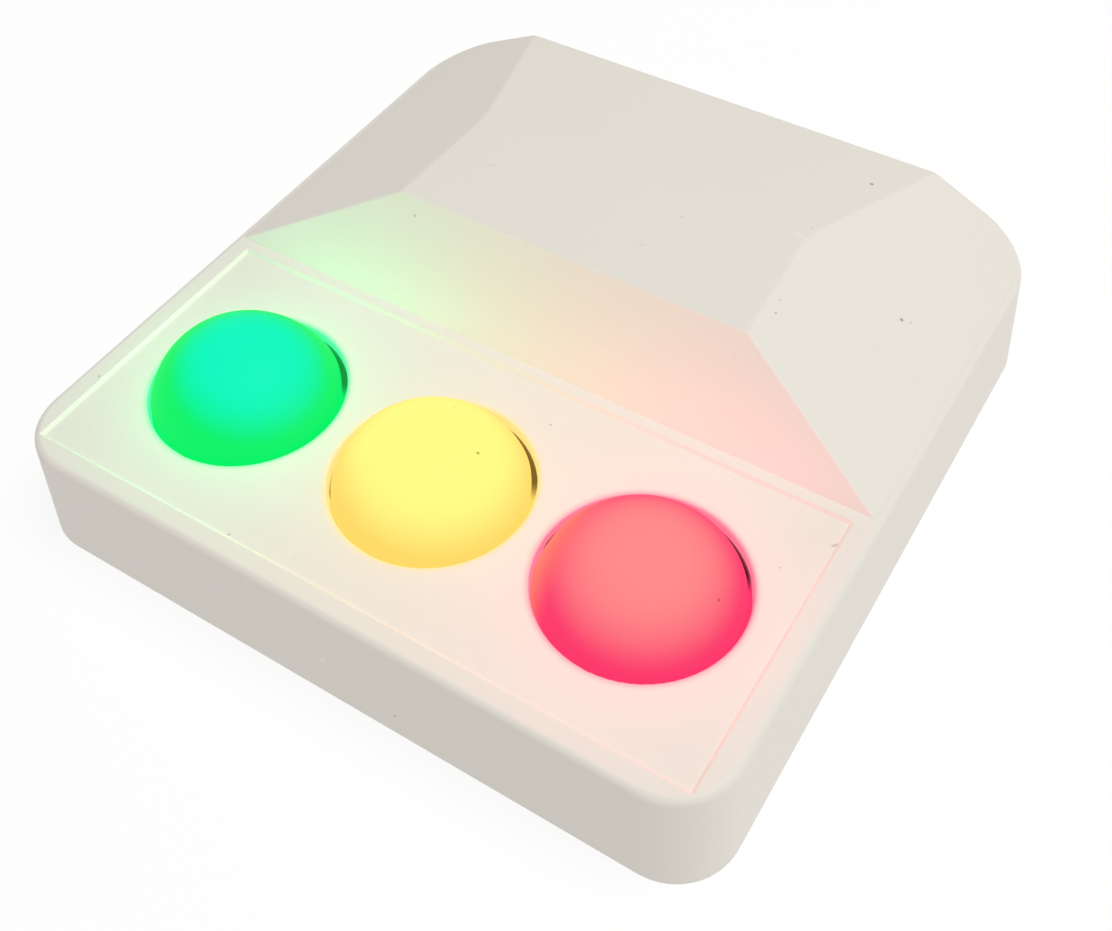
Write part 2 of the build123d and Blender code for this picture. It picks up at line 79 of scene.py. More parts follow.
class Lamp(Enum):
    """The three lamps, by the side of the case that they stand on."""

    GREEN = "green"
    YELLOW = "yellow"
    RED = "red"

    @property
    def lens_node(self) -> str:
        """Name of the lamp's domed cap."""
        return f"{self.value}_lens"

    @property
    def led_node(self) -> str:
        """Name of the lamp's light source on the board."""
        return f"{self.value}_led"


class Wire:
    """A number on a shader wire. Plain arithmetic on it adds the Math nodes."""

    def __init__(self, sheet: Sheet, socket: bpy.types.NodeSocket) -> None:
        """Wraps a socket.

        Args:
            sheet: the node sheet that the socket is on.
            socket: an output socket that carries a number.
        """
        self.sheet = sheet
        self.socket = socket

    def _maths(self, operation: str, first: Number, second: Number) -> Wire:
        """Adds one Math node and returns its result."""
        node = self.sheet.node("ShaderNodeMath", {"operation": operation}, {0: first, 1: second})
        return Wire(self.sheet, node.outputs[0])

    def __add__(self, other: Number) -> Wire:
        """Sum."""
        return self._maths("ADD", self, other)

    __radd__ = __add__

    def __mul__(self, other: Number) -> Wire:
        """Product."""
        return self._maths("MULTIPLY", self, other)

    __rmul__ = __mul__

    def __sub__(self, other: Number) -> Wire:
        """Difference."""
        return self._maths("SUBTRACT", self, other)

    def __rsub__(self, other: Number) -> Wire:
        """Difference, with the number first."""
        return self._maths("SUBTRACT", other, self)

    def __truediv__(self, other: Number) -> Wire:
        """Quotient."""
        return self._maths("DIVIDE", self, other)

    def __pow__(self, other: Number) -> Wire:
        """Power."""
        return self._maths("POWER", self, other)

    def at_least(self, other: Number) -> Wire:
        """The larger of the two."""
        return self._maths("MAXIMUM", self, other)

    def ramp(self, start: float, end: float) -> Wire:
        """Goes smoothly from 0 at start to 1 at end, and stays there on both sides.

        Args:
            start: the value that gives 0.
            end: the value that gives 1. It may be the smaller of the two.

        Returns:
            The eased number.
        """
        low, high = sorted((start, end))
        settings = {"interpolation_type": "SMOOTHSTEP", "clamp": True}
        to_low, to_high = (0.0, 1.0) if start < end else (1.0, 0.0)
        sockets = {"Value": self, "From Min": low, "From Max": high, "To Min": to_low, "To Max": to_high}
        node = self.sheet.node("ShaderNodeMapRange", settings, sockets)
        return Wire(self.sheet, node.outputs["Result"])


Number = Wire | float


class Sheet:
    """The node sheet of one material."""

    def __init__(self, name: str) -> None:
        """Starts an empty sheet.

        Args:
            name: the material's name.
        """
        self.material = bpy.data.materials.new(name)
        self.material.use_nodes = True
        self.tree = self.material.node_tree
        self.tree.nodes.clear()
        self.place = self.node("ShaderNodeTexCoord").outputs["Object"]

    def node(
        self, kind: str, settings: dict[str, Any] | None = None, sockets: dict[Any, Any] | None = None
    ) -> bpy.types.Node:
        """Adds one node.

        Args:
            kind: the node's type.
            settings: what is set on the node itself, before its sockets.
            sockets: a value, a socket or a wire for each input, by name or by number.

        Returns:
            The new node.
        """
        made = self.tree.nodes.new(kind)
        for name, value in (settings or {}).items():
            setattr(made, name, value)
        for key, value in (sockets or {}).items():
            if isinstance(value, Wire):
                value = value.socket
            if isinstance(value, bpy.types.NodeSocket):
                self.tree.links.new(value, made.inputs[key])
            else:
                made.inputs[key].default_value = value
        return made

    def vector(self, operation: str, first: Any, second: Any = (0.0, 0.0, 0.0)) -> bpy.types.Node:
        """Adds one Vector Math node."""
        return self.node("ShaderNodeVectorMath", {"operation": operation}, {0: first, 1: second})

    def along(self, direction: Place) -> Wire:
        """Distance of the surface from the origin along a direction, in millimetres."""
        scaled = tuple(part / MM for part in direction)
        return Wire(self, self.vector("DOT_PRODUCT", self.place, scaled).outputs["Value"])

    def distance(self, place: Place) -> Wire:
        """Distance of the surface from a place, both in millimetres."""
        centre = tuple(part * MM for part in place)
        return Wire(self, self.vector("DISTANCE", self.place, centre).outputs["Value"]) / MM

    def noise(self, size: float, detail: float = 2.0, stretch: Place = (1.0, 1.0, 1.0)) -> Wire:
        """Cloudy noise from 0 to 1.

        Args:
            size: about how wide one cloud is, in millimetres.
            detail: how many finer layers it has.
            stretch: how much longer the clouds are along each axis.

        Returns:
            The noise.
        """
        squeezed = tuple(1.0 / (part * size * MM) for part in stretch)
        scaled = self.vector("MULTIPLY", self.place, squeezed).outputs["Vector"]
        sockets = {"Vector": scaled, "Scale": 1.0, "Detail": detail}
        return Wire(self, self.node("ShaderNodeTexNoise", None, sockets).outputs[0])

    def blend(self, mask: Number, first: Any, second: Any) -> bpy.types.NodeSocket:
        """Blends two colours.

        Args:
            mask: 0 gives the first and 1 gives the second.
            first: a colour or a link.
            second: a colour or a link.

        Returns:
            The blended colour.
        """
        colours = [self._four(first), self._four(second)]
        node = self.node("ShaderNodeMix", {"data_type": "RGBA"}, {0: mask, 6: colours[0], 7: colours[1]})
        return node.outputs[2]

    def add(self, first: Any, second: Any) -> bpy.types.NodeSocket:
        """Adds two colours.

        Args:
            first: a colour or a link.
            second: a colour or a link.

        Returns:
            Their sum.
        """
        settings = {"data_type": "RGBA", "blend_type": "ADD"}
        node = self.node("ShaderNodeMix", settings, {0: 1.0, 6: self._four(first), 7: self._four(second)})
        return node.outputs[2]

    def bump(self, height: Number, depth: float) -> bpy.types.NodeSocket:
        """Normal of a surface raised by a height.

        Args:
            height: the relief, from 0 to 1.
            depth: how high 1 stands, in millimetres.

        Returns:
            The bumped normal.
        """
        node = self.node("ShaderNodeBump", None, {"Height": height, "Distance": depth * MM, "Strength": 1.0})
        return node.outputs["Normal"]

    def finish(self, sockets: dict[str, Any]) -> bpy.types.Material:
        """Ends the sheet with its surface.

        Args:
            sockets: values and links of the surface shader.

        Returns:
            The material.
        """
        filled = {
            name: self._four(value) if name.endswith("Color") else value for name, value in sockets.items()
        }
        shader = self.node("ShaderNodeBsdfPrincipled", None, filled)
        self.node("ShaderNodeOutputMaterial", None, {"Surface": shader.outputs["BSDF"]})
        return self.material

    @staticmethod
    def _four(value: Any) -> Any:
        """A plain colour with its alpha, or the link as it is."""
        return (*value, 1.0) if isinstance(value, tuple) else value


@dataclass(frozen=True)
class Mark:
    """A speck, a fibre or a scuff on the case, in millimetres.

    Attributes:
        place: its centre.
        size: its length.
        width: its width, or 0 for a round speck.
        heading: the angle of a long one in plan, in degrees from +X.
        strength: how much of the plastic it hides.
        pale: whether it is lighter than the plastic.
        fade: where its edge starts and ends, as shares of its half size.
    """

    place: Place
    size: float
    width: float = 0.0
    heading: float = 0.0
    strength: float = 0.6
    pale: bool = False
    fade: tuple[float, float] = (1.25, 0.6)

    def mask(self, sheet: Sheet) -> Wire:
        """Draws the mark.

        Args:
            sheet: the sheet of the piece that it is on.

        Returns:
            Its strength inside the mark and 0 outside, with a soft edge.
        """
        distance = sheet.distance(self.place)
        if self.width:
            turn = math.radians(self.heading)
            direction = (math.cos(turn), math.sin(turn), 0.0)
            middle = sum(a * b for a, b in zip(self.place, direction))
            along = sheet.along(direction) - middle
            across = (distance * distance - along * along).at_least(0.0)
            reach = (along * along / (self.size / 2) ** 2 + across / (self.width / 2) ** 2) ** 0.5
        else:
            reach = distance / (self.size / 2)
        return reach.ramp(*self.fade) * self.strength


@dataclass(frozen=True)
class PaintedShadeCrescent:
    """A stretch of the gap round a dome where shade is painted dark.

    Attributes:
        heading: the angle of its middle round the hole, in degrees from +X.
        half_width: how far it runs to each side of that, in degrees.
        strength: how dark the painted shade is.
        taper: where its ends start and reach their full darkness, as shares of the half width.
    """

    heading: float
    half_width: float
    strength: float = 0.95
    taper: tuple[float, float] = (1.15, 0.6)

    def mask(self, x: Wire, y: Wire, out: Wire) -> Wire:
        """Draws the painted shade of the stretch.

        Args:
            x: distance from the hole's axis along X.
            y: distance from the hole's axis along Y.
            out: distance straight out from it.

        Returns:
            The stretch's strength inside it and 0 elsewhere.
        """
        turn = math.radians(self.heading)
        facing = (x * math.cos(turn) + y * math.sin(turn)) / out
        ends = (math.cos(math.radians(self.half_width * share)) for share in self.taper)
        return facing.ramp(*ends) * self.strength


@dataclass(frozen=True)
class Glow:
    """Colours of one lit lamp, and of the light and shade painted round it.

    Attributes:
        core: the dome where it is palest.
        rim: the dome near its hole.
        body: the dome's plastic itself.
        edge: the dome's light painted on the rounded edge of the hole and in the ring round it.
        gap: the colour of the painted shade on the dark stretches of the gap round the dome.
        painted_shade_crescents: where those stretches are.
        spill: the light that falls on the case.
        power: that light's power in watts.
        heading: the way that the pale core leans, in degrees from +X.
        lean: how far it leans from the crown, in degrees.
        spread: the angles from the core's middle where it starts to fade and where it has gone, in degrees.
    """

    core: Colour
    rim: Colour
    body: Colour
    edge: Colour
    gap: Colour
    painted_shade_crescents: tuple[PaintedShadeCrescent, ...]
    spill: Colour
    power: float
    heading: float
    lean: float
    spread: tuple[float, float]

    @property
    def core_direction(self) -> Place:
        """Direction from the middle of the dome's ball to the middle of its pale core."""
        turn, tilt = math.radians(self.heading), math.radians(self.lean)
        return (math.sin(tilt) * math.cos(turn), math.sin(tilt) * math.sin(turn), math.cos(tilt))


@dataclass(frozen=True)
class CasePlastic:
    """Warm white moulded plastic with a fine grain, dust specks, and lamp light and gap shade painted round
    the holes.
    """

    colour: Colour = (0.80, 0.76, 0.69)
    cloud_size: float = 26.0
    cloud_shade: float = 0.985
    roughness: float = 0.48
    grain_roughness: float = 0.10
    cloud_roughness: float = 0.06
    specular: float = 0.35
    grain_size: float = 0.22
    grain_depth: float = 0.004
    wave_size: float = 9.0
    wave_depth: float = 0.02
    fleck_size: float = 0.9
    fleck_share: tuple[float, float] = (0.70, 0.80)
    fleck_strength: float = 0.06
    speck_colour: Colour = (0.10, 0.09, 0.08)
    pale_colour: Colour = (0.95, 0.93, 0.88)
    # Near-black base under the painted lamp light on the hole's wall.
    painted_glow_base_colour: Colour = (0.02, 0.02, 0.02)

    def material(
        self, lamps: dict[Lamp, LampSpot] | None = None, marks: tuple[Mark, ...] = ()
    ) -> bpy.types.Material:
        """Makes the material.

        Args:
            lamps: where each lamp stands, for the lamp light and gap shade painted round each hole.
            marks: the specks and scuffs on it.

        Returns:
            The material.
        """
        sheet = Sheet("case_plastic" if lamps else "plate_plastic")
        cloud = sheet.noise(self.cloud_size, 3.0)
        colour = sheet.blend(cloud, shaded(self.colour, self.cloud_shade), self.colour)
        fleck = sheet.noise(self.fleck_size, 2.0).ramp(*self.fleck_share) * self.fleck_strength
        colour = sheet.blend(fleck, colour, self.speck_colour)
        for mark in marks:
            mark_colour = self.pale_colour if mark.pale else self.speck_colour
            colour = sheet.blend(mark.mask(sheet), colour, mark_colour)
        # Round each hole, lamp light is painted as a ring of colour and as glow on the edge, and shade is
        # painted in the gap's dark stretches.
        light: Any = BLACK
        for spot in (lamps or {}).values():
            x, y, out = spot.outward(sheet)
            edge = spot.edge(out)
            lit = sheet.blend(spot.painted_gap_shade(sheet, x, y, out), spot.glow.edge, spot.glow.gap)
            colour = sheet.blend(spot.painted_halo(out), colour, spot.glow.edge)
            colour = sheet.blend(edge, colour, self.painted_glow_base_colour)
            light = sheet.add(light, sheet.blend(edge, BLACK, lit))
        grain = sheet.noise(self.grain_size, 2.0)
        wave = sheet.noise(self.wave_size, 2.0)
        height = grain * self.grain_depth + wave * self.wave_depth
        rough = grain * self.grain_roughness + (self.roughness - 0.5 * self.grain_roughness)
        rough = rough + cloud * self.cloud_roughness
        sockets = {
            "Base Color": colour,
            "Roughness": rough,
            "Normal": sheet.bump(height, 1.0),
            "Specular IOR Level": self.specular,
        }
        if lamps:
            # The painted light and shade on the hole walls are given as emission.
            sockets |= {"Emission Color": light, "Emission Strength": 1.0}
        return sheet.finish(sockets)


@dataclass(frozen=True)
class LampSpot:
    """One hole of the panel, in millimetres, and the lamp light and shade painted round it.

    Attributes:
        centre: its middle in plan.
        hole_radius: its radius.
        edge_rounding: the rounding of its edge.
        panel_top: the height of the panel.
        glow: the colours of its lamp.
        lit_depth: how far down the hole's wall the painted light reaches all round.
        dim_depth: how much deeper a dark stretch has its full painted shade.
        edge_fade: where the painted light on the edge ends and is full, past the hole's radius, as shares of
            the rounding.
        halo_reach: how far the painted lamp light goes into the panel.
        halo_strength: how strong that painted light is at the hole.
    """

    centre: tuple[float, float]
    hole_radius: float
    edge_rounding: float
    panel_top: float
    glow: Glow
    lit_depth: float = 0.9
    dim_depth: float = 0.3
    edge_fade: tuple[float, float] = (0.6, -0.1)
    halo_reach: float = 1.1
    halo_strength: float = 0.6

    def outward(self, sheet: Sheet) -> tuple[Wire, Wire, Wire]:
        """Measures from the lamp's axis.

        Args:
            sheet: the sheet of the piece that is lit.

        Returns:
            The distances along X, along Y and straight out.
        """
        x = sheet.along((1, 0, 0)) - self.centre[0]
        y = sheet.along((0, 1, 0)) - self.centre[1]
        return (x, y, (x * x + y * y) ** 0.5)

    def painted_gap_shade(self, sheet: Sheet, x: Wire, y: Wire, out: Wire) -> Wire:
        """1 on the lower wall of the hole where shade is painted, as no light comes out past the dome there.
        """
        lit_to = self.panel_top - self.lit_depth
        return sheet.along((0, 0, 1)).ramp(lit_to, lit_to - self.dim_depth) * self.painted_shade_stretches(x, y, out)

    def painted_shade_stretches(self, x: Wire, y: Wire, out: Wire) -> Number:
        """Draws the painted shade of the dark stretches of the gap, at any height.

        Args:
            x: distance from the lamp's axis along X.
            y: distance from the lamp's axis along Y.
            out: distance straight out from it.

        Returns:
            Near 1 along the stretches and 0 elsewhere.
        """
        dark: Number = 0.0
        for crescent in self.glow.painted_shade_crescents:
            dark = crescent.mask(x, y, out) + dark
        return dark

    def edge(self, out: Wire) -> Wire:
        """1 on the hole's wall, fading out over its rounded edge, where lamp light is painted."""
        return out.ramp(*(self.hole_radius + share * self.edge_rounding for share in self.edge_fade))

    def painted_halo(self, out: Wire) -> Wire:
        """Soft ring of lamp light painted into the plastic's colour round the hole."""
        ring = out.ramp(self.hole_radius + self.halo_reach, self.hole_radius)
        return ring * ring * self.halo_strength


@dataclass(frozen=True)
class DomePlastic:
    """Frosted plastic lit from inside, palest near the crown, with painted shade on its skirt along the gap's
    dark stretches.

    Attributes:
        spot: the hole that the dome stands in.
        crown: the dome's highest point.
        ball_radius: the radius of the ball that the dome is cut from.
        warm_side: a warmer colour that one side has, if it has one.
        warm_heading: the way that this side faces, in degrees from +X.
        warm_fade: where it starts and is full, as shares of the ball's radius.
        warm_strength: how strong it is.
        dim_depths: how far under the panel the painted shade of a dark stretch starts and is full.
        marks: the specks on it.
        mark_shade: how much light comes through a speck.
        roughness: its mean roughness.
        grain_roughness: how much that differs over the grain.
        grain_size: the size of the grain.
        grain_depth: its depth.
        specular: how strongly it mirrors.
    """

    spot: LampSpot
    crown: Place
    ball_radius: float
    warm_side: Colour | None = None
    warm_heading: float = 179.0
    warm_fade: tuple[float, float] = (0.48, 0.92)
    warm_strength: float = 0.6
    dim_depths: tuple[float, float] = (0.33, 1.1)
    marks: tuple[Mark, ...] = ()
    mark_shade: float = 0.3
    roughness: float = 0.60
    grain_roughness: float = 0.1
    grain_size: float = 0.3
    grain_depth: float = 0.004
    specular: float = 0.08

    def material(self, name: str) -> bpy.types.Material:
        """Makes the material.

        Args:
            name: the material's name.

        Returns:
            The material.
        """
        sheet = Sheet(name)
        glow = self.spot.glow
        middle = (self.crown[0], self.crown[1], self.crown[2] - self.ball_radius)
        facing = self._toward(sheet, middle, glow.core_direction)
        near, far = (math.cos(math.radians(angle)) for angle in glow.spread)
        colour = sheet.blend(facing.ramp(far, near), glow.rim, glow.core)
        if self.warm_side:
            turn = math.radians(self.warm_heading)
            side = self._toward(sheet, middle, (math.cos(turn), math.sin(turn), 0.0))
            colour = sheet.blend(side.ramp(*self.warm_fade) * self.warm_strength, colour, self.warm_side)
        for mark in self.marks:
            colour = sheet.blend(mark.mask(sheet), colour, shaded(glow.rim, self.mark_shade))
        # Painted shade: the skirt below the panel is darkened to the gap colour along the dark stretches.
        low = sheet.along((0, 0, 1)).ramp(*(self.spot.panel_top - depth for depth in self.dim_depths))
        low = low * self.spot.painted_shade_stretches(*self.spot.outward(sheet))
        colour = sheet.blend(low, colour, glow.gap)
        grain = sheet.noise(self.grain_size, 2.0)
        sockets = {
            "Base Color": glow.body,
            "Roughness": grain * self.grain_roughness + (self.roughness - 0.5 * self.grain_roughness),
            "Specular IOR Level": self.specular,
            "Emission Color": colour,
            "Emission Strength": 1.0,
            "Normal": sheet.bump(grain, self.grain_depth),
        }
        return sheet.finish(sockets)

    def _toward(self, sheet: Sheet, middle: Place, direction: Place) -> Wire:
        """Cosine of the angle between a direction and the way from the ball's middle to the surface."""
        offset = sum(a * b for a, b in zip(middle, direction))
        return (sheet.along(direction) - offset) / self.ball_radius


@dataclass(frozen=True)
class MouldedPlastic:
    """Plain moulded plastic or epoxy with a fine grain."""

    name: str
    colour: Colour
    roughness: float = 0.5
    grain_size: float = 0.3
    grain_depth: float = 0.004
    grain_roughness: float = 0.12
    cloud_size: float = 6.0
    cloud_shade: float = 0.9
    specular: float = 0.4

    def material(self) -> bpy.types.Material:
        """Makes the material.

        Returns:
            The material.
        """
        sheet = Sheet(self.name)
        cloud = sheet.noise(self.cloud_size, 3.0)
        grain = sheet.noise(self.grain_size, 2.0)
        sockets = {
            "Base Color": sheet.blend(cloud, shaded(self.colour, self.cloud_shade), self.colour),
            "Roughness": grain * self.grain_roughness + (self.roughness - 0.5 * self.grain_roughness),
            "Normal": sheet.bump(grain, self.grain_depth),
            "Specular IOR Level": self.specular,
        }
        return sheet.finish(sockets)


@dataclass(frozen=True)
class PlatedMetal:
    """Plated or drawn metal with fine tool marks and a little staining."""

    name: str
    colour: Colour
    roughness: float = 0.3
    stretch: Place = (1.0, 1.0, 1.0)
    stain_size: float = 1.8
    stain_shade: float = 0.75
    stain_roughness: float = 0.15
    line_size: float = 0.12
    line_depth: float = 0.003
    line_roughness: float = 0.1

    def material(self) -> bpy.types.Material:
        """Makes the material.

        Returns:
            The material.
        """
        sheet = Sheet(self.name)
        stain = sheet.noise(self.stain_size, 4.0)
        lines = sheet.noise(self.line_size, 3.0, self.stretch)
        rough = stain * self.stain_roughness + lines * self.line_roughness
        sockets = {
            "Base Color": sheet.blend(stain, shaded(self.colour, self.stain_shade), self.colour),
            "Metallic": 1.0,
            "Roughness": rough + (self.roughness - self.line_roughness),
            "Normal": sheet.bump(lines, self.line_depth),
        }
        return sheet.finish(sockets)


@dataclass(frozen=True)
class BoardLacquer:
    """Green lacquer over the board, with tracks showing as a faint relief and a bare edge."""

    colour: Colour = (0.012, 0.16, 0.06)
    track_colour: Colour = (0.03, 0.27, 0.10)
    edge_colour: Colour = (0.42, 0.40, 0.22)
    track_pitch: float = 2.54
    track_edge: tuple[float, float] = (0.30, 0.36)
    track_depth: float = 0.03
    wander_size: float = 14.0
    wander: float = 3.0
    low: float = 5.0
    high: float = 6.6
    skin: tuple[float, float] = (0.02, 0.06)
    roughness: float = 0.28
    edge_roughness: float = 0.35
    cloud_size: float = 3.0
    cloud_roughness: float = 0.1

    def material(self) -> bpy.types.Material:
        """Makes the material.

        Returns:
            The material.
        """
        sheet = Sheet("board_lacquer")
        across = sheet.along((1, 0, 0)) / self.track_pitch
        wander = sheet.noise(self.wander_size, 0.0, (1.0, 3.0, 1.0)) * self.wander
        phase = sheet.node("ShaderNodeMath", {"operation": "PINGPONG"}, {0: across + wander, 1: 0.5})
        track = Wire(sheet, phase.outputs[0]).ramp(*self.track_edge)
        colour = sheet.blend(track, self.colour, self.track_colour)
        height = sheet.along((0, 0, 1))
        above = height.ramp(*(self.low + depth for depth in self.skin))
        side = above * height.ramp(*(self.high - depth for depth in self.skin))
        colour = sheet.blend(side, colour, self.edge_colour)
        cloud = sheet.noise(self.cloud_size, 2.0)
        sockets = {
            "Base Color": colour,
            "Roughness": cloud * self.cloud_roughness + side * self.edge_roughness + self.roughness,
            "Normal": sheet.bump(track, self.track_depth),
            "Coat Weight": 1.0 - side,
        }
        return sheet.finish(sockets)


@dataclass(frozen=True)
class CappedCeramic:
    """Small ceramic block with a tinned cap on each end, lying along Y."""

    name: str
    colour: Colour
    rows: tuple[float, ...]
    half_length: float
    cap_length: float = 0.4
    cap_edge: float = 0.02
    tin_colour: Colour = (0.62, 0.62, 0.60)
    shade: float = 0.85
    roughness: float = 0.35
    grain_roughness: float = 0.12
    grain_size: float = 0.25
    grain_depth: float = 0.003

    def material(self) -> bpy.types.Material:
        """Makes the material.

        Returns:
            The material.
        """
        sheet = Sheet(self.name)
        y = sheet.along((0, 1, 0))
        cap_start = self.half_length - self.cap_length
        caps: Number = 1.0
        for row in self.rows:
            off = ((y - row) * (y - row)) ** 0.5
            caps = off.ramp(cap_start - self.cap_edge, cap_start) * caps
        grain = sheet.noise(self.grain_size, 3.0)
        colour = sheet.blend(grain, shaded(self.colour, self.shade), self.colour)
        sockets = {
            "Base Color": sheet.blend(caps, colour, self.tin_colour),
            "Metallic": caps,
            "Roughness": grain * self.grain_roughness + self.roughness,
            "Normal": sheet.bump(grain, self.grain_depth),
        }
        return sheet.finish(sockets)


def dress(obj: bpy.types.Object, material: bpy.types.Material) -> None:
    """Gives a piece one material and reports it.

    Args:
        obj: the piece.
        material: its finish.
    """
    obj.data.materials.clear()
    obj.data.materials.append(material)
    LOG.info("%s: %s", obj.name, material.name)


@dataclass
class Domes:
    """The three lit caps, in millimetres. Their places and tops come from their solids."""

    dome_radius: float = 10.15
    flange_radius: float = 11.9
    wall: float = 1.2
    flange_thickness: float = 1.2
    panel_top: float = PANEL_TOP
    segments: int = 96
    rings: int = 64
    tolerance: float = 0.001
    smooth_angle: float = 35.0

    def centre(self, lamp: Lamp) -> tuple[float, float]:
        """Middle of a lamp's cap in plan."""
        low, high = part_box(lamp.lens_node)
        return ((low.x + high.x) / 2 / MM, (low.y + high.y) / 2 / MM)

    def top(self, lamp: Lamp) -> float:
        """Height of a cap's crown."""
        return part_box(lamp.lens_node)[1].z / MM

    def ball_radius(self, lamp: Lamp) -> float:
        """Radius of the ball that the crown is cut from."""
        rise = self.top(lamp) - self.panel_top
        return (self.dome_radius**2 + rise**2) / (2 * rise)

    def build(self, lamp: Lamp) -> bpy.types.Object:
        """Models one cap: a crown cut from a ball, a skirt through the hole and a flange under the panel.

        Args:
            lamp: the lamp that it covers.

        Returns:
            The finished cap.
        """
        x, y = self.centre(lamp)
        radius = self.ball_radius(lamp)
        ball = (x * MM, y * MM, (self.top(lamp) - radius) * MM)
        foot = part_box(lamp.lens_node)[0].z / MM
        bpy.ops.object.select_all(action="DESELECT")
        bpy.ops.mesh.primitive_uv_sphere_add(
            segments=self.segments, ring_count=self.rings, radius=radius * MM, location=ball
        )
        cap = bpy.context.object
        cap.name = f"{lamp.value}_dome"
        bpy.ops.object.transform_apply(location=True, rotation=True, scale=True)
        bpy.ops.object.mode_set(mode="EDIT")
        bpy.ops.mesh.select_all(action="SELECT")
        bpy.ops.mesh.bisect(plane_co=(0, 0, self.panel_top * MM), plane_no=(0, 0, 1), clear_inner=True)
        self._select_rim(cap)
        drop = foot + self.flange_thickness - self.panel_top
        bpy.ops.mesh.extrude_region_move(TRANSFORM_OT_translate={"value": (0, 0, drop * MM)})
        bpy.ops.mesh.extrude_region_move()
        grow = self.flange_radius / self.dome_radius
        bpy.ops.transform.resize(value=(grow, grow, 1), center_override=(x * MM, y * MM, 0))
        bpy.ops.object.mode_set(mode="OBJECT")
        wall = cap.modifiers.new("wall", "SOLIDIFY")
        wall.thickness = self.wall * MM
        wall.offset = -1
        wall.use_even_offset = True
        bpy.ops.object.modifier_apply(modifier=wall.name)
        bpy.ops.object.shade_smooth_by_angle(angle=math.radians(self.smooth_angle))
        return cap

    def _select_rim(self, cap: bpy.types.Object) -> None:
        """Selects the edge that was cut at the height of the panel.

        Args:
            cap: the cap, in edit mode.
        """
        bpy.ops.mesh.select_all(action="DESELECT")
        bpy.ops.object.mode_set(mode="OBJECT")
        for vertex in cap.data.vertices:
            vertex.select = abs(vertex.co.z / MM - self.panel_top) < self.tolerance
        for edge in cap.data.edges:
            edge.select = all(cap.data.vertices[index].select for index in edge.vertices)
        bpy.ops.object.mode_set(mode="EDIT")
        bpy.ops.mesh.select_mode(type="EDGE")

    def place(self, lamp: Lamp, spot: LampSpot, warm_side: Colour | None, marks: tuple[Mark, ...]) -> None:
        """Builds one cap, dresses it and lets it stand for its solid.

        Args:
            lamp: the lamp that it covers.
            spot: the hole that it stands in.
            warm_side: a warmer colour for one side, if it has one.
            marks: the specks on it.
        """
        cap = self.build(lamp)
        x, y = self.centre(lamp)
        finish = DomePlastic(
            spot=spot,
            crown=(x, y, self.top(lamp)),
            ball_radius=self.ball_radius(lamp),
            warm_side=warm_side,
            marks=marks,
        )
        dress(cap, finish.material(f"{lamp.value}_lit_plastic"))
        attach(cap, "root")
        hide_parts(lamp.lens_node)
        cap.visible_shadow = False


@dataclass
class Case:
    """The cover and the plate that closes its back."""

    hole_radius: float = 10.65
    edge_rounding: float = 0.35
    panel_top: float = PANEL_TOP
    marks: tuple[Mark, ...] = (
        Mark((22.3, 33.2, 21.55), 0.5),
        Mark((-18.9, 2.0, 21.85), 0.32, strength=0.4),
        Mark((22.5, 7.7, 22.9), 0.32, strength=0.4),
        Mark((22.1, 9.4, 23.1), 0.28, strength=0.3),
        Mark((32.7, 18.6, 17.8), 0.45),
        Mark((33.6, 19.2, 17.3), 0.3, strength=0.3),
        Mark((6.4, -10.3, 13.65), 0.28, strength=0.4),
        Mark((-39.1, -29.9, 14.0), 0.32, strength=0.4),
        Mark((-13.2, -38.6, 13.65), 0.3, strength=0.4),
        Mark((34.7, -14.2, 13.65), 0.25, strength=0.3),
        Mark((38.1, -9.1, 13.7), 0.9, 0.35, 60.0, 0.3),
        Mark((-15.3, 11.9, 23.62), 1.1, 0.16, 20.0, 0.22),
        Mark((7.5, 15.0, 23.69), 0.8, 0.16, -10.0, 0.2),
        Mark((6.0, 9.0, 23.54), 0.9, 0.14, 35.0, 0.2),
        Mark((20.4, 20.7, 23.54), 0.8, 0.14, 70.0, 0.2),
        Mark((8.3, -42.32, 3.27), 0.4, strength=0.35),
        Mark((-0.3, -42.14, 6.05), 0.7, strength=0.5, pale=True),
        Mark((19.8, 18.9, 23.71), 2.2, 0.14, -20.0, 0.5, True),
    )

    def spots(self, glows: dict[Lamp, Glow]) -> dict[Lamp, LampSpot]:
        """Works out the holes of the panel. Each is centred over its lamp on the board.

        Args:
            glows: the colours of each lamp.

        Returns:
            The hole of each lamp.
        """
        holes = {}
        for lamp, glow in glows.items():
            low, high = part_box(lamp.led_node)
            centre = ((low.x + high.x) / 2 / MM, (low.y + high.y) / 2 / MM)
            holes[lamp] = LampSpot(centre, self.hole_radius, self.edge_rounding, self.panel_top, glow)
        return holes

    def place(self, nodes: dict[str, bpy.types.Object], spots: dict[Lamp, LampSpot]) -> None:
        """Dresses the cover and the plate."""
        dress(nodes["front_cover"], CasePlastic().material(spots, self.marks))
        dress(nodes["back_plate"], CasePlastic(roughness=0.55).material())


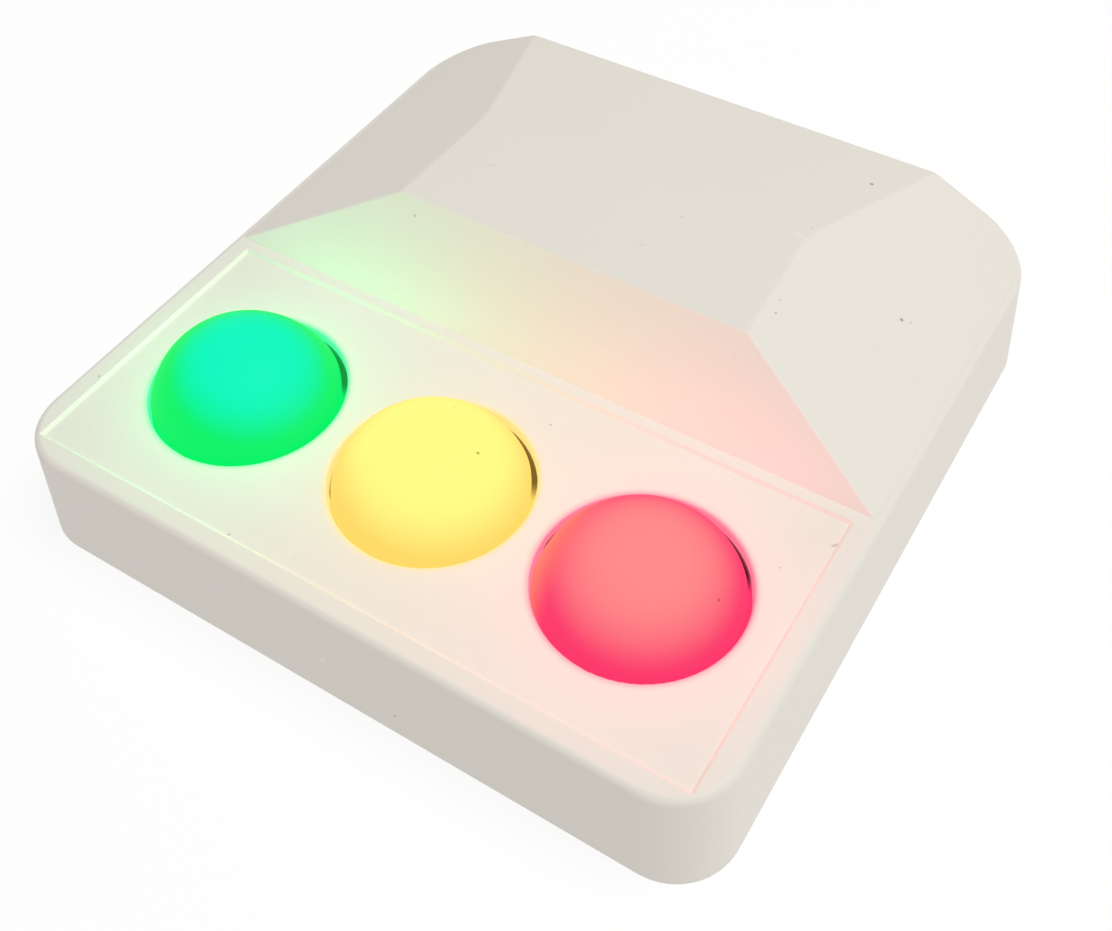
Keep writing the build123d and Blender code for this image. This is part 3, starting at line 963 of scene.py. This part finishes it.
@dataclass
class Works:
    """The board, what stands on it and the reflector over it."""

    row_gap: float = 3.0

    def place(self, nodes: dict[str, bpy.types.Object]) -> None:
        """Dresses every inner piece.

        Args:
            nodes: the pieces by name.
        """
        epoxy = MouldedPlastic("chip_epoxy", (0.022, 0.022, 0.024), roughness=0.42).material()
        steel = PlatedMetal("zinc_plate", (0.62, 0.62, 0.60)).material()
        lamp_body = MouldedPlastic("lamp_body", (0.83, 0.83, 0.79), roughness=0.3, grain_size=0.5).material()
        drawn_can = PlatedMetal(
            "drawn_can", (0.72, 0.72, 0.73), roughness=0.26, stretch=(1.0, 1.0, 30.0)
        ).material()
        ferrite = MouldedPlastic(
            "pressed_ferrite", (0.09, 0.09, 0.10), roughness=0.6, grain_size=0.4, grain_depth=0.01
        ).material()
        finishes = {
            "light_baffle": MouldedPlastic("reflector_white", (0.86, 0.86, 0.84), roughness=0.42).material(),
            "circuit_board": BoardLacquer().material(),
            "board_screws": steel,
            "terminal_block": MouldedPlastic("terminal_green", (0.03, 0.22, 0.09), roughness=0.38).material(),
            "terminal_clamps": PlatedMetal("nickel_plate", (0.66, 0.62, 0.54), roughness=0.28).material(),
            "terminal_screws": steel,
            "controller_chip": epoxy,
            "voltage_regulator": epoxy,
            "driver_transistors": epoxy,
            "protection_diode": epoxy,
            "smoothing_capacitor": drawn_can,
            "filter_inductor": ferrite,
        }
        capped = {
            "led_resistors": ("resistor_glaze", (0.04, 0.04, 0.045)),
            "ceramic_capacitors": ("fired_ceramic", (0.46, 0.34, 0.21)),
            "board_fuse": ("fuse_ceramic", (0.78, 0.77, 0.72)),
        }
        for name, (finish, colour) in capped.items():
            finishes[name] = self._ceramic(nodes, name, finish, colour)
        for lamp in Lamp:
            finishes[lamp.led_node] = lamp_body
        for name, material in finishes.items():
            dress(nodes[name], material)

    def _ceramic(
        self, nodes: dict[str, bpy.types.Object], name: str, finish: str, colour: Colour
    ) -> bpy.types.Material:
        """Finish of capped blocks, with their rows read from the solids.

        Args:
            nodes: the pieces by name.
            name: the node that holds the blocks.
            finish: the material's name.
            colour: the colour between the caps.

        Returns:
            The material.
        """
        rows: list[float] = []
        ys = sorted(vertex.co.y / MM for vertex in nodes[name].data.vertices)
        start = ys[0]
        half = 0.0
        for before, after in zip(ys, ys[1:] + [math.inf]):
            if after - before > self.row_gap:
                rows.append((start + before) / 2)
                half = (before - start) / 2
                start = after
        return CappedCeramic(finish, colour, tuple(rows), half).material()


@dataclass
class Studio:
    """The floor, the lights and the camera, in millimetres and degrees."""

    target: Place = (8.168, -12.168, 10.0)
    azimuth: float = 33.1
    elevation: float = 51.288
    distance: float = 137.362
    roll: float = -1.583
    lens: float = 42.12
    sensor: float = 36.0
    clip: tuple[float, float] = (10.0, 10000.0)
    floor_half: float = 1500.0
    floor_drop: float = 0.05
    floor_colour: Colour = (0.16, 0.16, 0.16)
    floor_roughness: float = 0.9
    floor_light: float = 0.84
    sky_light: float = 0.42
    key_place: Place = (270.0, 60.0, 770.0)
    key_size: float = 520.0
    key_power: float = 4.2
    key_colour: Colour = (1.0, 0.995, 0.98)
    lamp_height: float = 16.2
    lamp_size: float = 4.5

    def build(self, domes: Domes, glows: dict[Lamp, Glow]) -> None:
        """Sets up everything round the case.

        Args:
            domes: the caps, for where their lights stand.
            glows: the colours of each lamp.
        """
        self._camera()
        self._floor()
        self._sky()
        self._key_light()
        for lamp, glow in glows.items():
            self._lamp_light(lamp, domes, glow)

    def _camera(self) -> None:
        """Stands the camera where the photograph was taken from."""
        azimuth, elevation = math.radians(self.azimuth), math.radians(self.elevation)
        level = math.cos(elevation)
        back = Vector((math.sin(azimuth) * level, -math.cos(azimuth) * level, math.sin(elevation)))
        right = (-back).cross(Vector((0, 0, 1))).normalized()
        up = right.cross(-back)
        turn = math.radians(self.roll)
        tilted_right = math.cos(turn) * right + math.sin(turn) * up
        tilted_up = math.cos(turn) * up - math.sin(turn) * right
        data = bpy.data.cameras.new("camera")
        data.sensor_fit = "HORIZONTAL"
        data.sensor_width = self.sensor
        data.lens = self.lens
        data.clip_start, data.clip_end = (distance * MM for distance in self.clip)
        camera = bpy.data.objects.new("camera", data)
        bpy.context.scene.collection.objects.link(camera)
        pose = Matrix((tilted_right, tilted_up, back)).transposed().to_4x4()
        pose.translation = (Vector(self.target) + back * self.distance) * MM
        camera.matrix_world = pose
        bpy.context.scene.camera = camera

    def _floor(self) -> None:
        """Lays the pale floor."""
        bpy.ops.object.select_all(action="DESELECT")
        size = 2 * self.floor_half * MM
        bpy.ops.mesh.primitive_plane_add(size=size, location=(0, 0, -self.floor_drop * MM))
        floor = bpy.context.object
        floor.name = "floor"
        bpy.ops.object.transform_apply(location=True, rotation=True, scale=True)
        sheet = Sheet("pale_floor")
        sockets = {
            "Base Color": self.floor_colour,
            "Roughness": self.floor_roughness,
            "Specular IOR Level": 0.0,
            "Emission Color": WHITE,
            "Emission Strength": self.floor_light,
        }
        dress(floor, sheet.finish(sockets))

    def _sky(self) -> None:
        """Even white light from all round."""
        scene = bpy.context.scene
        world = bpy.data.worlds.new("sky")
        scene.world = world
        world.use_nodes = True
        background = world.node_tree.nodes["Background"]
        background.inputs["Color"].default_value = (*WHITE, 1.0)
        background.inputs["Strength"].default_value = self.sky_light
        scene.view_settings.view_transform = "Standard"
        scene.view_settings.look = "None"

    def _key_light(self) -> None:
        """Hangs one square soft light that faces the middle of the case."""
        data = bpy.data.lights.new("key", "AREA")
        data.shape = "SQUARE"
        data.size = self.key_size * MM
        data.energy = self.key_power
        data.color = self.key_colour
        light = bpy.data.objects.new("key", data)
        bpy.context.scene.collection.objects.link(light)
        place = Vector(self.key_place)
        light.location = place * MM
        light.rotation_euler = (-place).to_track_quat("-Z", "Y").to_euler()

    def _lamp_light(self, lamp: Lamp, domes: Domes, glow: Glow) -> None:
        """Puts a small coloured light inside a dome, for what it throws on the case.

        Args:
            lamp: which dome.
            domes: the caps, for where it stands.
            glow: its colour and power.
        """
        data = bpy.data.lights.new(f"{lamp.value}_light", "POINT")
        data.energy = glow.power
        data.color = glow.spill
        data.shadow_soft_size = self.lamp_size * MM
        light = bpy.data.objects.new(f"{lamp.value}_light", data)
        bpy.context.scene.collection.objects.link(light)
        light.location = Vector((*domes.centre(lamp), self.lamp_height)) * MM
        light.visible_camera = False


# Each glow's crescents give the angles where shade is painted in the gap round its dome.
GLOWS = {
    Lamp.GREEN: Glow(
        core=(0.003, 0.93, 0.515),
        rim=(0.003, 0.88, 0.133),
        body=(0.0, 0.01, 0.005),
        edge=(0.06, 0.90, 0.34),
        gap=(0.008, 0.26, 0.04),
        painted_shade_crescents=(PaintedShadeCrescent(58.0, 24.0),),
        spill=(0.16, 1.0, 0.46),
        power=0.0096,
        heading=-12.0,
        lean=15.0,
        spread=(18.0, 54.0),
    ),
    Lamp.YELLOW: Glow(
        core=(1.0, 0.96, 0.235),
        rim=(1.0, 0.69, 0.135),
        body=(0.02, 0.01, 0.005),
        edge=(1.0, 0.73, 0.22),
        gap=(0.16, 0.085, 0.01),
        painted_shade_crescents=(PaintedShadeCrescent(54.0, 28.0), PaintedShadeCrescent(-157.0, 15.0, 0.6)),
        spill=(1.0, 0.49, 0.31),
        power=0.0064,
        heading=-12.0,
        lean=8.0,
        spread=(30.0, 68.0),
    ),
    Lamp.RED: Glow(
        core=(0.98, 0.255, 0.25),
        rim=(0.95, 0.036, 0.145),
        body=(0.02, 0.005, 0.005),
        edge=(0.95, 0.18, 0.29),
        gap=(0.05, 0.004, 0.006),
        painted_shade_crescents=(PaintedShadeCrescent(58.0, 24.0), PaintedShadeCrescent(169.0, 14.0)),
        spill=(1.0, 0.24, 0.34),
        power=0.0096,
        heading=-45.0,
        lean=9.0,
        spread=(5.0, 62.0),
    ),
}
WARM_SIDE = (1.0, 0.30, 0.13)
YELLOW_MARKS = (
    Mark((5.08, -21.21, 19.62), 0.35, strength=0.7),
    Mark((-0.2, -17.5, 19.68), 0.2, strength=0.5),
)
RED_MARKS = (Mark((32.32, -22.85, 17.53), 0.3, strength=0.7),)


def main() -> None:
    """Loads the frame, builds the domes, dresses every piece and sets the studio up."""
    logging.basicConfig(level=logging.INFO, format="%(name)s %(message)s")
    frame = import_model()
    nodes = frame["nodes"]
    domes = Domes()
    Studio().build(domes, GLOWS)
    case = Case()
    spots = case.spots(GLOWS)
    domes.place(Lamp.GREEN, spots[Lamp.GREEN], None, ())
    domes.place(Lamp.YELLOW, spots[Lamp.YELLOW], None, YELLOW_MARKS)
    domes.place(Lamp.RED, spots[Lamp.RED], WARM_SIDE, RED_MARKS)
    case.place(nodes, spots)
    Works().place(nodes)


if __name__ == "__main__":
    main()
